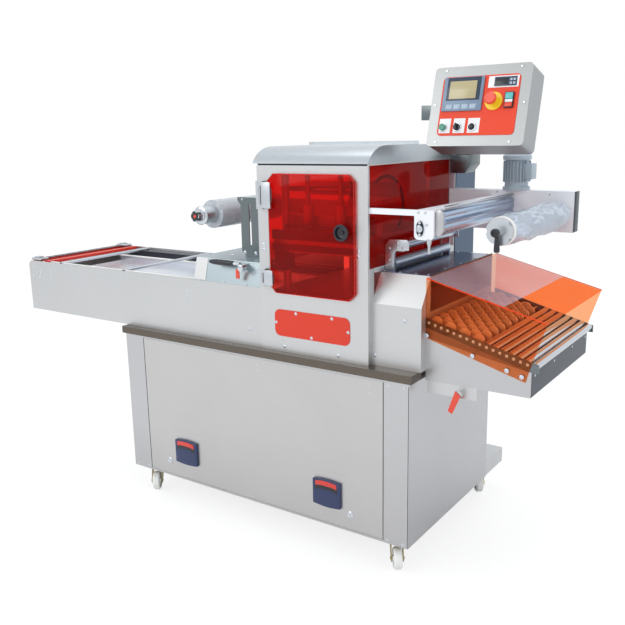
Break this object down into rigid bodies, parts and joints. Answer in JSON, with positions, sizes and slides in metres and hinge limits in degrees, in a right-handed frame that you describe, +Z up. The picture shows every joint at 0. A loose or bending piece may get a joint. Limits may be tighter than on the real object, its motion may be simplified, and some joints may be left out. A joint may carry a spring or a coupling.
{
  "type": "in-line tray sealer",
  "caption": "Free-standing tray sealing machine on castors: infeed trough, glazed sealing tower, film reels, control box and a guarded sloping wheel and roller outfeed.",
  "frame": {"origin": "on the floor under the middle of the machine's box", "axes": "+X along the machine towards the outfeed, +Y from the operator's side to the rear, +Z up"},
  "size_m": [2.445, 0.9162, 1.7346],
  "materials": {
    "brushed_steel": "brushed stainless sheet",
    "polished_steel": "dark polished stainless",
    "zinc_plate": "yellow zinc plate",
    "white_nylon": "moulded nylon",
    "latch_plastic": "moulded",
    "red_plate": "satin",
    "orange_pane": "tinted clear sheet",
    "bright_steel": "ground",
    "aluminium": "machined",
    "black_plastic": "moulded",
    "clear_film": "wound clear film",
    "roller_plastic": "moulded",
    "motor_paint": "light grey-blue enamel",
    "fascia_print": "printed fascia",
    "stop_red": "moulded",
    "white_sheet": "white"
  },
  "bodies": {
    "machine": {"base_cabinet": "brushed_steel", "carrier_bars": "bright_steel", "castor_plates": "zinc_plate", "chain_rails": "black_plastic", "control_arm": "brushed_steel", "control_box": "brushed_steel", "control_face": "fascia_print", "conveyor_frame": "brushed_steel", "deck": "polished_steel", "deck_profiles": "bright_steel", "door_hinges": "aluminium", "drive_motor": "motor_paint", "end_strips": "red_plate", "entry_hood": "brushed_steel", "film_arm": "aluminium", "film_beam": "white_sheet", "front_panel": "brushed_steel", "guard": "orange_pane", "infeed_trough": "brushed_steel", "lower_die": "aluminium", "name_plate": "red_plate", "outfeed_cheek": "brushed_steel", "outfeed_housing": "brushed_steel", "panel_fittings": "black_plastic", "panel_latches": "latch_plastic", "rear_base_box": "brushed_steel", "rear_column": "polished_steel", "reel_arm": "brushed_steel", "roller_bed": "bright_steel", "side_windows": "orange_pane", "slotted_bracket": "brushed_steel", "toggle_plate": "brushed_steel", "tower_front": "brushed_steel", "tower_roof": "brushed_steel", "tower_shell": "brushed_steel", "tray_pan": "bright_steel", "upper_head": "aluminium", "wheel_bed": "roller_plastic", "worktop": "polished_steel"},
    "door": {"front_door": "orange_pane", "door_leaves": "aluminium", "door_knob": "black_plastic"},
    "unwind_reel": {"unwind_hub": "aluminium", "film_roll": "clear_film"},
    "rewind_reel": {"rewind_core": "aluminium", "waste_film": "clear_film"},
    "upper_roller": {"guide_roller_upper": "aluminium"},
    "lower_roller": {"guide_roller_lower": "aluminium"},
    "stop_button": {"emergency_stop": "stop_red"},
    "hood_clamp": {"hood_lever": "black_plastic"},
    "outfeed_clamp": {"toggle_lever": "red_plate"},
    "fork_front_right": {"castor_fork_front_right": "zinc_plate"},
    "wheel_front_right": {"castor_wheel_front_right": "white_nylon"},
    "fork_front_left": {"castor_fork_front_left": "zinc_plate"},
    "wheel_front_left": {"castor_wheel_front_left": "white_nylon"},
    "fork_rear_right": {"castor_fork_rear_right": "zinc_plate"},
    "wheel_rear_right": {"castor_wheel_rear_right": "white_nylon"},
    "fork_rear_left": {"castor_fork_rear_left": "zinc_plate"},
    "wheel_rear_left": {"castor_wheel_rear_left": "white_nylon"}
  },
  "joints": [
    {"name": "door_hinge", "type": "hinge", "parent": "machine", "child": "door", "pos_m": [0.1975, -0.43585, 1.196], "axis": [0, 0, -1], "range_deg": [0, 110]},
    {"name": "swivel_front_right", "type": "hinge", "parent": "machine", "child": "fork_front_right", "pos_m": [0.7215, -0.38185, 0.088], "axis": [0, 0, 1], "continuous": true},
    {"name": "roll_front_right", "type": "hinge", "parent": "fork_front_right", "child": "wheel_front_right", "pos_m": [0.73871, -0.40642, 0.04], "axis": [0.8192, 0.5736, 0], "continuous": true},
    {"name": "swivel_front_left", "type": "hinge", "parent": "machine", "child": "fork_front_left", "pos_m": [-0.4835, -0.38185, 0.088], "axis": [0, 0, 1], "continuous": true},
    {"name": "roll_front_left", "type": "hinge", "parent": "fork_front_left", "child": "wheel_front_left", "pos_m": [-0.46629, -0.40642, 0.04], "axis": [0.8192, 0.5736, 0], "continuous": true},
    {"name": "swivel_rear_right", "type": "hinge", "parent": "machine", "child": "fork_rear_right", "pos_m": [0.7215, 0.35315, 0.088], "axis": [0, 0, 1], "continuous": true},
    {"name": "roll_rear_right", "type": "hinge", "parent": "fork_rear_right", "child": "wheel_rear_right", "pos_m": [0.73871, 0.32858, 0.04], "axis": [0.8192, 0.5736, 0], "continuous": true},
    {"name": "swivel_rear_left", "type": "hinge", "parent": "machine", "child": "fork_rear_left", "pos_m": [-0.4835, 0.35315, 0.088], "axis": [0, 0, 1], "continuous": true},
    {"name": "roll_rear_left", "type": "hinge", "parent": "fork_rear_left", "child": "wheel_rear_left", "pos_m": [-0.46629, 0.32858, 0.04], "axis": [0.8192, 0.5736, 0], "continuous": true},
    {"name": "unwind_spin", "type": "hinge", "parent": "machine", "child": "unwind_reel", "pos_m": [1.0655, -0.14185, 1.225], "axis": [0, 1, 0], "continuous": true},
    {"name": "rewind_spin", "type": "hinge", "parent": "machine", "child": "rewind_reel", "pos_m": [-0.2325, -0.14185, 1.211], "axis": [0, 1, 0], "continuous": true},
    {"name": "upper_roller_spin", "type": "hinge", "parent": "machine", "child": "upper_roller", "pos_m": [0.8445, -0.14185, 1.234], "axis": [0, 1, 0], "continuous": true},
    {"name": "lower_roller_spin", "type": "hinge", "parent": "machine", "child": "lower_roller", "pos_m": [0.8205, -0.14185, 1.204], "axis": [0, 1, 0], "continuous": true},
    {"name": "stop_push", "type": "slide", "parent": "machine", "child": "stop_button", "axis": [0, 0.9613, -0.2756], "range_m": [0, 0.004]},
    {"name": "hood_clamp_turn", "type": "hinge", "parent": "machine", "child": "hood_clamp", "pos_m": [0.0915, -0.42085, 1.044], "axis": [0, 1, 0], "range_deg": [0, 75]},
    {"name": "outfeed_clamp_turn", "type": "hinge", "parent": "machine", "child": "outfeed_clamp", "pos_m": [0.9475, -0.36185, 0.687], "axis": [0, 1, 0], "range_deg": [0, 90]}
  ]
}
